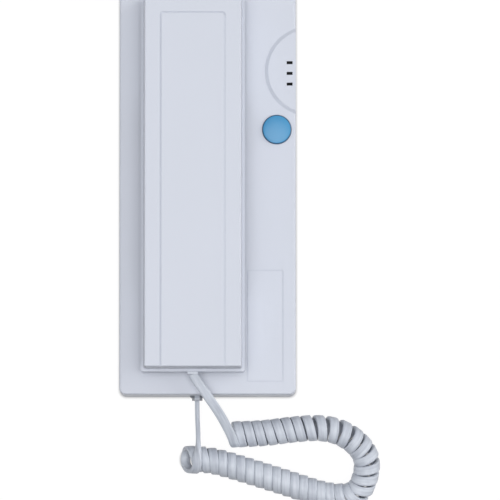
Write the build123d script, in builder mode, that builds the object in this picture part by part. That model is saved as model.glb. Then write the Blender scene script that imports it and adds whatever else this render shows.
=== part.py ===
from build123d import *

import os
from math import atan2, cos, dist, pi, radians, sin, sqrt, tan

# Wall-mounted audio intercom with a lift-off handset on a curly cord, in millimetres.
# It lies on its back: +Z points out of the wall face, +Y to the unit's top, +X to its right.
# The origin is in the middle of the wall face.

# Base housing
body_width = 92.0
body_height = 214.0
body_depth = 25.0
body_corner_radius = 3.5
body_edge_radius = 1.0
cover_wall = 2.2
plate_thickness = 2.4
seat_gap = 0.3
cut_overrun = 1.0

# Features on the front of the cover
disc_radius = 21.9
disc_bevel = 1.8
disc_rise = 0.8
disc_centre_outside = 7.5
disc_from_top = 45.0
slot_count = 3
slot_width = 3.1
slot_height = 1.6
slot_pitch = 5.6
slot_from_side = 3.2
slot_above_disc = -1.2
label_width = 19.0
label_height = 58.4
label_corner_radius = 1.0
label_from_side = 6.5
label_from_bottom = 6.6
label_groove_width = 0.5
label_groove_depth = 0.25

# Door button and its switch
button_radius = 7.5
button_clearance = 0.25
button_rim_height = 1.0
button_crown_height = 1.9
button_crown_radius = 4.5
button_flange_lip = 1.3
button_flange_height = 1.6
button_stem_radius = 2.5
button_travel = 1.2
button_from_side = 9.9
button_from_top = 75.6
tact_width = 6.0
tact_height = 5.0
tact_tip_radius = 1.75
tact_tip_height = 0.7

# Handset outline and levels
handset_width = 54.0
handset_length = 195.5
handset_corner_radius = 1.3
handset_offset_x = -7.6
handset_from_bottom = 11.2
handset_clearance = 2.5
grip_clearance = 10.0
back_shell_height = 12.5
front_shell_height = 14.0
shell_wall = 2.6
front_wall = 2.2
rim_step = 1.4
front_draft_angle = 2.0
front_edge_radius = 0.8
grip_length = 74.0
grip_below_middle = 5.0
grip_slope_length = 16.0
grip_blend_radius = 16.0

# Panel line on the handset's front
panel_width = 34.0
panel_from_top = 9.2
panel_corner_radius = 1.8
panel_line_width = 0.8
panel_line_depth = 0.6
panel_faint_line_depth = 0.25

# Ear cap, mouth cap and the wells that they lie in
ear_cap_radius = 22.0
ear_from_top = 27.0
mouth_cap_width = 40.0
mouth_cap_length = 26.0
mouth_cap_radius = 6.0
mouth_from_bottom = 24.0
well_depth = 4.0
well_clearance = 2.0
cap_edge_chamfer = 1.0
sound_hole_radius = 1.0
ear_hole_circle_radius = 6.5
ear_hole_count = 6
mouth_hole_count = 3
mouth_hole_pitch = 6.0

# Pieces inside the handset
gasket_thickness = 1.0
gasket_inner_radius = 13.0
earpiece_radius = 17.8
earpiece_height = 9.0
earpiece_dome_radius = 9.0
earpiece_dome_height = 2.0
microphone_radius = 4.85
microphone_height = 6.0
boot_radius = 7.0
boot_height = 8.0
boot_floor = 1.0
boot_gap = 0.15
weight_length = 48.0
weight_width = 22.0
weight_height = 7.0
weight_chamfer = 1.5
shell_screw_radius = 1.5
shell_screw_head_radius = 2.8
shell_screw_head_height = 1.6
shell_screw_length = 11.0
shell_screw_inset = 8.0
shell_boss_radius = 3.6
screw_play = 0.1
press_ring_radius = 13.0
press_ring_wall = 1.6

# Circuit board in the base and what stands on it
board_from_left = 16.0
board_from_right = 4.0
board_height = 74.0
board_thickness = 1.6
board_standoff = 3.6
board_from_top = 11.0
board_corner_radius = 2.0
board_post_radius = 3.0
board_post_inset = 4.0
board_screw_radius = 1.2
board_screw_length = 4.0
board_screw_head_radius = 2.2
board_screw_head_height = 1.2
terminal_ways = 5
terminal_pitch = 5.0
terminal_depth = 8.0
terminal_height = 10.0
terminal_from_board_left = 23.0
terminal_from_board_bottom = 6.0
terminal_screw_radius = 1.6
terminal_screw_depth = 4.0
terminal_screw_slot = 0.6
wire_entry_size = 3.0
wire_entry_depth = 4.0
buzzer_radius = 12.0
buzzer_height = 8.0
buzzer_port_radius = 2.0
buzzer_port_depth = 2.0
buzzer_from_board_right = 13.0
buzzer_from_board_top = 34.0
capacitor_radius = 4.0
capacitor_height = 9.5
capacitor_count = 2
capacitor_pitch = 10.0
capacitor_from_board_right = 17.0
capacitor_from_board_top = 8.0

# Hook switch and its plunger
hook_from_ear = 20.5
hook_stem_radius = 2.5
hook_stem_clearance = 0.3
hook_flange_radius = 4.0
hook_flange_height = 1.5
hook_travel = 2.4
hook_tip_chamfer = 0.8
hook_switch_length = 12.8
hook_switch_width = 5.8
hook_switch_height = 6.5
hook_switch_chamfer = 0.6

# Modular jacks and plugs of the cord
plug_width = 7.7
plug_height = 6.6
plug_length = 12.0
base_plug_stand_out = 1.0
handset_plug_stand_out = -0.5
plug_neck_width = 5.4
plug_neck_height = 3.4
plug_neck_length = 1.5
plug_chamfer = 0.6
plug_clearance = 0.15
jack_width = 11.4
jack_depth = 12.6
base_jack_height = 13.2
handset_jack_height = 9.8
base_jack_offset_x = -5.5

# Wall fixing and the screw that holds the cover
wall_hole_spacing = 83.5
wall_hole_radius = 2.1
wall_holes_below_middle = 25.0
cable_hole_radius = 12.0
cover_screw_from_side = 18.0
cover_screw_height = 9.0
cover_screw_radius = 1.5
cover_screw_length = 9.0
cover_screw_head_radius = 2.8
cover_screw_head_height = 1.2
lug_width = 8.0
lug_length = 8.0
lug_height = 11.0
hook_tab_width = 10.0
hook_tab_thickness = 1.8
hook_tab_height = 8.0
hook_tab_spacing = 50.0

# Curly cord
coil_diameter = 13.8
tube_diameter = 2.6
tube_sides = 4
coil_turns = 36
samples_per_turn = 24
floor_gap = 0.1
coil_route = [
    (13.0, -127.3), (27.0, -127.3), (44.0, -124.6), (60.0, -122.8), (74.0, -126.0), (83.6, -136.0),
    (84.6, -148.5), (78.0, -160.0), (63.0, -161.0), (43.0, -154.2), (21.0, -147.0), (4.0, -141.8),
    (-4.5, -141.0),
]
# Pitch of the turns against the length along the coil: close, open in the bend, close again
coil_pitch_shares = [(0.0, 0.95), (0.2, 0.95), (0.28, 1.2), (0.55, 1.3), (0.63, 0.95), (1.0, 0.9)]
tail_radius_share = 0.45
coil_mouth_run = 4.0
base_end_run = 6.0
handset_tail_route = [(0.9, -107.8, 33.0), (5.6, -115.5, 27.3), (8.9, -121.3, 20.8)]
base_tail_route = [(-6.3, -121.5, 10.3)]

# Levels and places that follow from the sizes above
body_top = body_height / 2
body_bottom = -body_height / 2
body_right = body_width / 2
well_floor = body_depth - well_depth
cap_bottom = well_floor + seat_gap
handset_underside = body_depth + handset_clearance
grip_underside = body_depth + grip_clearance
seam_level = handset_underside + back_shell_height
handset_front = seam_level + front_shell_height
handset_bottom = body_bottom + handset_from_bottom
handset_top = handset_bottom + handset_length
handset_middle = (handset_bottom + handset_top) / 2
ear_y = handset_top - ear_from_top
mouth_y = handset_bottom + mouth_from_bottom
grip_middle = handset_middle - grip_below_middle
grip_low = grip_middle - grip_length / 2
grip_high = grip_middle + grip_length / 2
ear_well_radius = ear_cap_radius + well_clearance
mouth_well_width = mouth_cap_width + 2 * well_clearance
mouth_well_length = mouth_cap_length + 2 * well_clearance
mouth_well_radius = mouth_cap_radius + well_clearance
cap_floor = cap_bottom + shell_wall
grip_floor = grip_underside + shell_wall
front_ceiling = handset_front - front_wall
board_bottom = plate_thickness + board_standoff
board_top = board_bottom + board_thickness
board_width = body_width - board_from_left - board_from_right
board_x = (board_from_left - board_from_right) / 2
board_y = body_top - board_from_top - board_height / 2
board_left = board_x - board_width / 2
board_right = board_x + board_width / 2
board_low_edge = board_y - board_height / 2
board_high_edge = board_y + board_height / 2
button_x = body_right - button_from_side
button_y = body_top - button_from_top
cover_screw_x = body_right - cover_screw_from_side
disc_x = body_right + disc_centre_outside
disc_y = body_top - disc_from_top
wall_holes_y = -wall_holes_below_middle
earpiece_top = cap_floor + gasket_thickness + earpiece_height
boot_top = cap_floor + boot_height
shell_screw_places = [
    (handset_offset_x, grip_low + shell_screw_inset),
    (handset_offset_x, grip_high - shell_screw_inset),
]
hook_x = handset_offset_x
hook_y = ear_y - hook_from_ear
base_exit = Plane(
    origin=(base_jack_offset_x, body_bottom, plate_thickness + base_jack_height / 2),
    x_dir=(1, 0, 0), z_dir=(0, -1, 0),
)
handset_jack_floor = handset_underside + shell_wall
handset_exit = Plane(
    origin=(handset_offset_x, handset_bottom, handset_jack_floor + handset_jack_height / 2),
    x_dir=(1, 0, 0), z_dir=(0, -1, 0),
)


# Raised disc that covers the sounder, cut off at the cover's right side
with BuildPart() as sounder_disc:
    with BuildSketch(Plane.XY.offset(body_depth - cover_wall / 2)):
        with Locations((disc_x, disc_y)):
            Circle(disc_radius + disc_bevel)
    extrude(amount=cover_wall / 2)
    with BuildSketch(Plane.XY.offset(body_depth)):
        with Locations((disc_x, disc_y)):
            Circle(disc_radius + disc_bevel)
    with BuildSketch(Plane.XY.offset(body_depth + disc_rise)):
        with Locations((disc_x, disc_y)):
            Circle(disc_radius)
    loft()
    with BuildSketch(Plane.XY.offset(body_depth - cover_wall)):
        Rectangle(body_width, body_height)
    extrude(amount=cover_wall + disc_rise + cut_overrun, mode=Mode.INTERSECT)


# Moulded cover with the wells for the handset's caps
with BuildPart() as front_cover:
    with BuildSketch():
        RectangleRounded(body_width, body_height, body_corner_radius)
    extrude(amount=body_depth)
    fillet(front_cover.faces().sort_by(Axis.Z)[-1].edges(), body_edge_radius)
    offset(amount=-cover_wall, openings=front_cover.faces().sort_by(Axis.Z)[0])
    add(sounder_disc.part)
    with BuildSketch(Plane.XY.offset(well_floor - cover_wall)):
        with Locations((handset_offset_x, ear_y)):
            Circle(ear_well_radius + cover_wall)
        with Locations((handset_offset_x, mouth_y)):
            RectangleRounded(
                mouth_well_width + 2 * cover_wall,
                mouth_well_length + 2 * cover_wall,
                mouth_well_radius + cover_wall,
            )
    extrude(amount=well_depth + cover_wall / 2)
    with BuildSketch(Plane.XY.offset(well_floor)):
        with Locations((handset_offset_x, ear_y)):
            Circle(ear_well_radius)
        with Locations((handset_offset_x, mouth_y)):
            RectangleRounded(mouth_well_width, mouth_well_length, mouth_well_radius)
    extrude(amount=well_depth + cut_overrun, mode=Mode.SUBTRACT)
    # Button hole and sound slots
    with BuildSketch(Plane.XY.offset(body_depth - cover_wall - cut_overrun)):
        with Locations((button_x, button_y)):
            Circle(button_radius + button_clearance)
        with Locations((body_right - slot_from_side, disc_y + slot_above_disc)):
            with GridLocations(slot_width, slot_pitch, 1, slot_count):
                Rectangle(slot_width, slot_height)
    extrude(amount=cover_wall + disc_rise + 2 * cut_overrun, mode=Mode.SUBTRACT)
    # Hole in the ear well for the hook plunger
    with BuildSketch(Plane.XY.offset(well_floor - cover_wall - cut_overrun)):
        with Locations((hook_x, hook_y)):
            Circle(hook_stem_radius + hook_stem_clearance)
    extrude(amount=cover_wall + 2 * cut_overrun, mode=Mode.SUBTRACT)
    # Scribed frame of the label field
    with BuildSketch(Plane.XY.offset(body_depth)):
        with Locations((
            body_right - label_from_side - label_width / 2,
            body_bottom + label_from_bottom + label_height / 2,
        )):
            RectangleRounded(label_width, label_height, label_corner_radius)
            RectangleRounded(
                label_width - 2 * label_groove_width,
                label_height - 2 * label_groove_width,
                label_corner_radius - label_groove_width,
                mode=Mode.SUBTRACT,
            )
    extrude(amount=-label_groove_depth, mode=Mode.SUBTRACT)
    # Window for the plug and hole for the cover screw, in the bottom wall
    with BuildSketch(base_exit):
        Rectangle(plug_width + 2 * plug_clearance, plug_height + 2 * plug_clearance)
    extrude(amount=-cover_wall - cut_overrun, mode=Mode.SUBTRACT)
    with BuildSketch(Plane.XZ.offset(body_top)):
        with Locations((cover_screw_x, cover_screw_height)):
            Circle(cover_screw_radius + screw_play)
    extrude(amount=-cover_wall - cut_overrun, mode=Mode.SUBTRACT)
    with BuildSketch(Plane.XZ.offset(body_top)):
        with Locations((cover_screw_x, cover_screw_height)):
            Circle(cover_screw_head_radius + screw_play)
    extrude(amount=-cover_screw_head_height, mode=Mode.SUBTRACT)


# Plate that is screwed to the wall, with the cable hole, board posts, screw lug and hook tabs
plate_width = body_width - 2 * (cover_wall + seat_gap)
plate_height = body_height - 2 * (cover_wall + seat_gap)
board_posts_across = board_width - 2 * board_post_inset
board_posts_along = board_height - 2 * board_post_inset
with BuildPart() as back_plate:
    with BuildSketch():
        RectangleRounded(plate_width, plate_height, body_corner_radius - cover_wall)
        with Locations((0, wall_holes_y)):
            Circle(cable_hole_radius, mode=Mode.SUBTRACT)
            with GridLocations(wall_hole_spacing, wall_hole_spacing, 1, 2):
                Circle(wall_hole_radius, mode=Mode.SUBTRACT)
    extrude(amount=plate_thickness)
    with BuildSketch(Plane.XY.offset(plate_thickness)):
        with Locations((board_x, board_y)):
            with GridLocations(board_posts_across, board_posts_along, 2, 2):
                Circle(board_post_radius)
                Circle(board_screw_radius + screw_play, mode=Mode.SUBTRACT)
    extrude(amount=board_standoff)
    lug_y = -plate_height / 2 + lug_length / 2
    with BuildSketch(Plane.XY.offset(plate_thickness)):
        with Locations((cover_screw_x, lug_y)):
            Rectangle(lug_width, lug_length)
    extrude(amount=lug_height)
    with BuildSketch(Plane.XZ.offset(plate_height / 2)):
        with Locations((cover_screw_x, cover_screw_height)):
            Circle(cover_screw_radius + screw_play)
    extrude(amount=-lug_length, mode=Mode.SUBTRACT)
    with BuildSketch(Plane.XY.offset(plate_thickness)):
        with Locations((0, plate_height / 2 - hook_tab_thickness / 2)):
            with GridLocations(hook_tab_spacing, hook_tab_spacing, 2, 1):
                Rectangle(hook_tab_width, hook_tab_thickness)
    extrude(amount=hook_tab_height)


# Screw through the cover's bottom wall into the lug
with BuildPart() as cover_screw:
    with BuildSketch(Plane.XZ.offset(body_top)):
        with Locations((cover_screw_x, cover_screw_height)):
            Circle(cover_screw_head_radius)
    extrude(amount=-cover_screw_head_height)
    with BuildSketch(Plane.XZ.offset(body_top - cover_screw_head_height)):
        with Locations((cover_screw_x, cover_screw_height)):
            Circle(cover_screw_radius)
    extrude(amount=-cover_screw_length)


# Circuit board on the four posts
with BuildPart() as circuit_board:
    with BuildSketch(Plane.XY.offset(board_bottom)):
        with Locations((board_x, board_y)):
            RectangleRounded(board_width, board_height, board_corner_radius)
            with GridLocations(board_posts_across, board_posts_along, 2, 2):
                Circle(board_screw_radius + screw_play, mode=Mode.SUBTRACT)
    extrude(amount=board_thickness)

with BuildPart() as board_screws:
    with BuildSketch(Plane.XY.offset(board_top)):
        with Locations((board_x, board_y)):
            with GridLocations(board_posts_across, board_posts_along, 2, 2):
                Circle(board_screw_head_radius)
    extrude(amount=board_screw_head_height)
    with BuildSketch(Plane.XY.offset(board_top)):
        with Locations((board_x, board_y)):
            with GridLocations(board_posts_across, board_posts_along, 2, 2):
                Circle(board_screw_radius)
    extrude(amount=-board_screw_length)


# Screw terminals for the riser cable
terminal_x = board_left + terminal_from_board_left
terminal_y = board_low_edge + terminal_from_board_bottom
with BuildPart() as terminal_block:
    with BuildSketch(Plane.XY.offset(board_top)):
        with Locations((terminal_x, terminal_y)):
            Rectangle(terminal_ways * terminal_pitch, terminal_depth)
    extrude(amount=terminal_height)
    with BuildSketch(Plane.XY.offset(board_top + terminal_height)):
        with Locations((terminal_x, terminal_y)):
            with GridLocations(terminal_pitch, terminal_pitch, terminal_ways, 1):
                Circle(terminal_screw_radius + screw_play)
    extrude(amount=-terminal_screw_depth, mode=Mode.SUBTRACT)
    with BuildSketch(Plane.XZ.offset(terminal_depth / 2 - terminal_y)):
        with Locations((terminal_x, board_top + wire_entry_size)):
            with GridLocations(terminal_pitch, terminal_pitch, terminal_ways, 1):
                Rectangle(wire_entry_size, wire_entry_size)
    extrude(amount=-wire_entry_depth, mode=Mode.SUBTRACT)

with BuildPart() as terminal_screws:
    with BuildSketch(Plane.XY.offset(board_top + terminal_height - terminal_screw_depth)):
        with Locations((terminal_x, terminal_y)):
            with GridLocations(terminal_pitch, terminal_pitch, terminal_ways, 1):
                Circle(terminal_screw_radius)
    extrude(amount=terminal_screw_depth - terminal_screw_slot)
    with BuildSketch(Plane.XY.offset(board_top + terminal_height - terminal_screw_slot)):
        with Locations((terminal_x, terminal_y)):
            with GridLocations(terminal_pitch, terminal_pitch, terminal_ways, 1):
                Rectangle(2 * terminal_screw_radius, terminal_screw_slot)
    extrude(amount=-terminal_screw_slot, mode=Mode.SUBTRACT)


# Call sounder behind the slots
buzzer_x = board_right - buzzer_from_board_right
buzzer_y = board_high_edge - buzzer_from_board_top
with BuildPart() as buzzer:
    with BuildSketch(Plane.XY.offset(board_top)):
        with Locations((buzzer_x, buzzer_y)):
            Circle(buzzer_radius)
    extrude(amount=buzzer_height)
    with BuildSketch(Plane.XY.offset(board_top + buzzer_height)):
        with Locations((buzzer_x, buzzer_y)):
            Circle(buzzer_port_radius)
    extrude(amount=-buzzer_port_depth, mode=Mode.SUBTRACT)

with BuildPart() as capacitors:
    with BuildSketch(Plane.XY.offset(board_top)):
        with Locations((
            board_right - capacitor_from_board_right, board_high_edge - capacitor_from_board_top,
        )):
            with GridLocations(capacitor_pitch, capacitor_pitch, capacitor_count, 1):
                Circle(capacitor_radius)
    extrude(amount=capacitor_height)


# Tactile switch under the door button
with BuildPart() as button_switch:
    with BuildSketch(Plane.XY.offset(board_top)):
        with Locations((button_x, button_y)):
            Rectangle(tact_width, tact_width)
    extrude(amount=tact_height)
    with BuildSketch(Plane.XY.offset(board_top + tact_height)):
        with Locations((button_x, button_y)):
            Circle(tact_tip_radius)
    extrude(amount=tact_tip_height)

# Door button: crowned cap, flange that stops it under the cover, stem down to the switch
button_flange_top = body_depth - cover_wall - seat_gap
button_flange_bottom = button_flange_top - button_flange_height
button_stem_bottom = board_top + tact_height + tact_tip_height + button_travel + seat_gap
button_rim = body_depth + button_rim_height
button_crown = body_depth + button_crown_height
with BuildPart() as door_button:
    with BuildSketch(Plane(origin=(button_x, button_y, 0), x_dir=(1, 0, 0), z_dir=(0, -1, 0))):
        with BuildLine():
            Polyline(
                (0, button_stem_bottom),
                (button_stem_radius, button_stem_bottom),
                (button_stem_radius, button_flange_bottom),
                (button_radius + button_flange_lip, button_flange_bottom),
                (button_radius + button_flange_lip, button_flange_top),
                (button_radius, button_flange_top),
                (button_radius, button_rim),
                (button_crown_radius, button_crown),
                (0, button_crown),
                close=True,
            )
        make_face()
    revolve(axis=Axis((button_x, button_y, 0), (0, 0, 1)))
    # Flat on the flange beside the cover's side wall
    flat_x = body_right - cover_wall - seat_gap
    with BuildSketch(Plane.XY.offset(button_flange_bottom)):
        with Locations((flat_x + button_radius, button_y)):
            Rectangle(2 * button_radius, 4 * button_radius)
    extrude(amount=button_flange_height, mode=Mode.SUBTRACT)


# Hook switch on the board and the plunger that the ear cap presses
with BuildPart() as hook_switch:
    with BuildSketch(Plane.XY.offset(board_top)):
        with Locations((hook_x, hook_y)):
            Rectangle(hook_switch_length, hook_switch_width)
    extrude(amount=hook_switch_height)
    chamfer(hook_switch.faces().sort_by(Axis.Z)[-1].edges(), hook_switch_chamfer)

hook_bottom = board_top + hook_switch_height + seat_gap
hook_top = cap_bottom - seat_gap
hook_flange_top = well_floor - cover_wall - seat_gap - hook_travel
with BuildPart() as hook_plunger:
    with BuildSketch(Plane.XY.offset(hook_flange_top)):
        with Locations((hook_x, hook_y)):
            Circle(hook_flange_radius)
    extrude(amount=-hook_flange_height)
    with BuildSketch(Plane.XY.offset(hook_bottom)):
        with Locations((hook_x, hook_y)):
            Circle(hook_stem_radius)
    extrude(amount=hook_top - hook_bottom)
    chamfer(hook_plunger.edges().sort_by(Axis.Z)[-1], hook_tip_chamfer)


def rear_profile(inset, top_level):
    """Side profile of the rear shell with the raised grip, or of its hollow at an inset."""
    low_end = handset_bottom + inset
    high_end = handset_top - inset
    underside = handset_underside + inset
    grip = grip_underside + inset
    with BuildSketch(Plane.YZ.offset(handset_offset_x - handset_width / 2 + inset)) as profile:
        with BuildLine():
            FilletPolyline(
                (low_end, underside),
                (grip_low - grip_slope_length, underside),
                (grip_low, grip),
                (grip_high, grip),
                (grip_high + grip_slope_length, underside),
                (high_end, underside),
                radius=grip_blend_radius,
            )
            Polyline(
                (high_end, underside), (high_end, top_level), (low_end, top_level), (low_end, underside),
            )
        make_face()
    return profile.sketch


# Rear shell of the handset, with the ear cap and the mouth cap below
with BuildPart() as handset_back_shell:
    extrude(rear_profile(0, seam_level), amount=handset_width)
    fillet(handset_back_shell.edges().filter_by(Axis.Z), handset_corner_radius)
    with BuildSketch(Plane.XY.offset(cap_bottom)):
        with Locations((handset_offset_x, ear_y)):
            Circle(ear_cap_radius)
        with Locations((handset_offset_x, mouth_y)):
            RectangleRounded(mouth_cap_width, mouth_cap_length, mouth_cap_radius)
    extrude(amount=handset_underside + shell_wall / 2 - cap_bottom)
    extrude(
        rear_profile(shell_wall, seam_level + cut_overrun),
        amount=handset_width - 2 * shell_wall,
        mode=Mode.SUBTRACT,
    )
    with BuildSketch(Plane.XY.offset(cap_floor)):
        with Locations((handset_offset_x, ear_y)):
            Circle(ear_cap_radius - shell_wall)
        with Locations((handset_offset_x, mouth_y)):
            RectangleRounded(
                mouth_cap_width - 2 * shell_wall,
                mouth_cap_length - 2 * shell_wall,
                mouth_cap_radius - shell_wall,
            )
    extrude(amount=handset_underside + shell_wall - cap_floor, mode=Mode.SUBTRACT)
    chamfer(handset_back_shell.edges().group_by(Axis.Z)[0], cap_edge_chamfer)
    # Sound holes of the ear cap and the mouth cap
    with BuildSketch(Plane.XY.offset(cap_bottom - cut_overrun)):
        with Locations((handset_offset_x, ear_y)):
            Circle(sound_hole_radius)
            with PolarLocations(ear_hole_circle_radius, ear_hole_count):
                Circle(sound_hole_radius)
        with Locations((handset_offset_x, mouth_y)):
            with GridLocations(mouth_hole_pitch, mouth_hole_pitch, mouth_hole_count, 1):
                Circle(sound_hole_radius)
    extrude(amount=shell_wall + 2 * cut_overrun, mode=Mode.SUBTRACT)
    # Counterbored holes of the two shell screws, in the grip
    with BuildSketch(Plane.XY.offset(grip_underside)):
        with Locations(*shell_screw_places):
            Circle(shell_screw_head_radius + screw_play)
    extrude(amount=shell_screw_head_height, mode=Mode.SUBTRACT)
    with BuildSketch(Plane.XY.offset(grip_underside)):
        with Locations(*shell_screw_places):
            Circle(shell_screw_radius + screw_play)
    extrude(amount=shell_wall + cut_overrun, mode=Mode.SUBTRACT)
    # Window for the plug in the lower end wall
    with BuildSketch(handset_exit):
        Rectangle(plug_width + 2 * plug_clearance, plug_height + 2 * plug_clearance)
    extrude(amount=-shell_wall - cut_overrun, mode=Mode.SUBTRACT)


# Front shell of the handset, with screw bosses and the rings that press on the capsules
panel_bottom = handset_bottom - cut_overrun
panel_top = handset_top - panel_from_top
panel_length = panel_top - panel_bottom
panel_centre = (handset_offset_x, (panel_top + panel_bottom) / 2)
with BuildPart() as handset_front_shell:
    with BuildSketch(Plane.XY.offset(seam_level)):
        with Locations((handset_offset_x, handset_middle)):
            RectangleRounded(
                handset_width - 2 * rim_step, handset_length - 2 * rim_step, handset_corner_radius,
            )
    extrude(amount=front_shell_height, taper=front_draft_angle)
    fillet(handset_front_shell.faces().sort_by(Axis.Z)[-1].edges(), front_edge_radius)
    offset(amount=-front_wall, openings=handset_front_shell.faces().sort_by(Axis.Z)[0])
    with BuildSketch(Plane.XY.offset(grip_floor)):
        with Locations(*shell_screw_places):
            Circle(shell_boss_radius)
            Circle(shell_screw_radius + screw_play, mode=Mode.SUBTRACT)
    extrude(amount=front_ceiling - grip_floor)
    with BuildSketch(Plane.XY.offset(earpiece_top + seat_gap)):
        with Locations((handset_offset_x, ear_y)):
            Circle(press_ring_radius)
            Circle(press_ring_radius - press_ring_wall, mode=Mode.SUBTRACT)
    extrude(amount=front_ceiling - earpiece_top - seat_gap)
    with BuildSketch(Plane.XY.offset(boot_top + seat_gap)):
        with Locations((handset_offset_x, mouth_y)):
            Circle(boot_radius)
            Circle(boot_radius - press_ring_wall, mode=Mode.SUBTRACT)
    extrude(amount=front_ceiling - boot_top - seat_gap)
    # Line round the panel: deep at the left and the top, faint at the right
    with BuildSketch(Plane.XY.offset(handset_front)):
        with Locations(panel_centre):
            RectangleRounded(panel_width, panel_length, panel_corner_radius)
            RectangleRounded(
                panel_width - 2 * panel_line_width,
                panel_length - 2 * panel_line_width,
                panel_corner_radius - panel_line_width,
                mode=Mode.SUBTRACT,
            )
        with Locations((handset_offset_x + panel_width / 2, panel_centre[1] - panel_corner_radius)):
            Rectangle(2 * panel_line_width, panel_length, mode=Mode.SUBTRACT)
    extrude(amount=-panel_line_depth, mode=Mode.SUBTRACT)
    with BuildSketch(Plane.XY.offset(handset_front)):
        with Locations((
            handset_offset_x + panel_width / 2 - panel_line_width / 2,
            panel_centre[1] - panel_corner_radius,
        )):
            Rectangle(panel_line_width, panel_length)
    extrude(amount=-panel_faint_line_depth, mode=Mode.SUBTRACT)


# Receiver capsule on its foam ring
with BuildPart() as earpiece_gasket:
    with BuildSketch(Plane.XY.offset(cap_floor)):
        with Locations((handset_offset_x, ear_y)):
            Circle(earpiece_radius)
            Circle(gasket_inner_radius, mode=Mode.SUBTRACT)
    extrude(amount=gasket_thickness)

with BuildPart() as earpiece:
    with BuildSketch(Plane.XY.offset(cap_floor + gasket_thickness)):
        with Locations((handset_offset_x, ear_y)):
            Circle(earpiece_radius)
    extrude(amount=earpiece_height)
    with BuildSketch(Plane.XY.offset(earpiece_top)):
        with Locations((handset_offset_x, ear_y)):
            Circle(earpiece_dome_radius)
    extrude(amount=earpiece_dome_height)


# Microphone in its rubber boot
with BuildPart() as microphone_boot:
    with BuildSketch(Plane.XY.offset(cap_floor)):
        with Locations((handset_offset_x, mouth_y)):
            Circle(boot_radius)
    extrude(amount=boot_height)
    with BuildSketch(Plane.XY.offset(cap_floor + boot_floor)):
        with Locations((handset_offset_x, mouth_y)):
            Circle(microphone_radius + boot_gap)
    extrude(amount=boot_height, mode=Mode.SUBTRACT)
    with BuildSketch(Plane.XY.offset(cap_floor)):
        with Locations((handset_offset_x, mouth_y)):
            Circle(sound_hole_radius)
    extrude(amount=boot_floor, mode=Mode.SUBTRACT)

with BuildPart() as microphone:
    with BuildSketch(Plane.XY.offset(cap_floor + boot_floor)):
        with Locations((handset_offset_x, mouth_y)):
            Circle(microphone_radius)
    extrude(amount=microphone_height)


# Steel weight in the grip and the two screws that close the shells
with BuildPart() as handset_weight:
    with BuildSketch(Plane.XY.offset(grip_floor)):
        with Locations((handset_offset_x, grip_middle)):
            Rectangle(weight_width, weight_length)
    extrude(amount=weight_height)
    chamfer(handset_weight.faces().sort_by(Axis.Z)[-1].edges(), weight_chamfer)

with BuildPart() as handset_screws:
    with BuildSketch(Plane.XY.offset(grip_underside)):
        with Locations(*shell_screw_places):
            Circle(shell_screw_head_radius)
    extrude(amount=shell_screw_head_height)
    with BuildSketch(Plane.XY.offset(grip_underside + shell_screw_head_height)):
        with Locations(*shell_screw_places):
            Circle(shell_screw_radius)
    extrude(amount=shell_screw_length)


def modular_plug(exit_plane, stand_out):
    """Four-way plug in the wall at exit_plane, with its cord neck."""
    with BuildPart() as plug:
        with BuildSketch(exit_plane.offset(stand_out)):
            Rectangle(plug_width, plug_height)
        extrude(amount=-plug_length)
        chamfer(plug.faces().sort_by(Axis.Y)[0].edges(), plug_chamfer)
        with BuildSketch(exit_plane.offset(stand_out)):
            Rectangle(plug_neck_width, plug_neck_height)
        extrude(amount=plug_neck_length)
    return plug


def modular_jack(exit_plane, wall, height, stand_out):
    """Jack behind a wall of the given thickness, with the cavity that the plug lies in."""
    with BuildPart() as jack:
        with BuildSketch(exit_plane.offset(-wall)):
            Rectangle(jack_width, height)
        extrude(amount=-jack_depth)
        with BuildSketch(exit_plane.offset(-wall)):
            Rectangle(plug_width + 2 * plug_clearance, plug_height + 2 * plug_clearance)
        extrude(amount=wall + stand_out - plug_length - plug_clearance, mode=Mode.SUBTRACT)
    return jack


base_plug = modular_plug(base_exit, base_plug_stand_out)
base_jack = modular_jack(
    base_exit, cover_wall + seat_gap, base_jack_height, base_plug_stand_out,
)
handset_plug = modular_plug(handset_exit, handset_plug_stand_out)
handset_jack = modular_jack(
    handset_exit, shell_wall, handset_jack_height, handset_plug_stand_out,
)


# Curly cord: the coil's middle line is a smooth curve of parabolas, one for each inner point of
# the route, and the turns wind round it from beside the handset's tail to the base's tail
coil_mean_radius = (coil_diameter - tube_diameter) / 2
coil_axis_height = coil_diameter / 2 + floor_gap
first_turn_share = 0.125


def between(start, end, share):
    """Point at a share of the way from start to end."""
    return tuple(a + share * (b - a) for a, b in zip(start, end))


def coil_axis(position):
    """Point and heading on the coil's middle line, position counted in parabolas."""
    last = len(coil_route) - 3
    span = min(int(position), last)
    share = position - span
    before, control, after = coil_route[span:span + 3]
    start = before if span == 0 else between(before, control, 1 / 2)
    end = after if span == last else between(control, after, 1 / 2)
    near = between(start, control, share)
    far = between(control, end, share)
    x, y = between(near, far, share)
    return x, y, atan2(far[1] - near[1], far[0] - near[0])


def pitch_share(share):
    """Relative pitch at a share of the coil's length."""
    for (low, first), (high, second) in zip(coil_pitch_shares, coil_pitch_shares[1:]):
        if share <= high:
            return first + (second - first) * (share - low) / (high - low)
    return coil_pitch_shares[-1][1]


# Turns wound up to each of many positions on the middle line
axis_steps = 1200
axis_positions = [(len(coil_route) - 2) * step / axis_steps for step in range(axis_steps + 1)]
axis_points = [coil_axis(position)[:2] for position in axis_positions]
axis_lengths = [0]
for near, far in zip(axis_points, axis_points[1:]):
    axis_lengths.append(axis_lengths[-1] + dist(near, far))
wound_turns = [0]
for near, far in zip(axis_lengths, axis_lengths[1:]):
    middle_share = (near + far) / 2 / axis_lengths[-1]
    wound_turns.append(wound_turns[-1] + (far - near) / pitch_share(middle_share))
wound_turns = [turns * coil_turns / wound_turns[-1] for turns in wound_turns]


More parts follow.
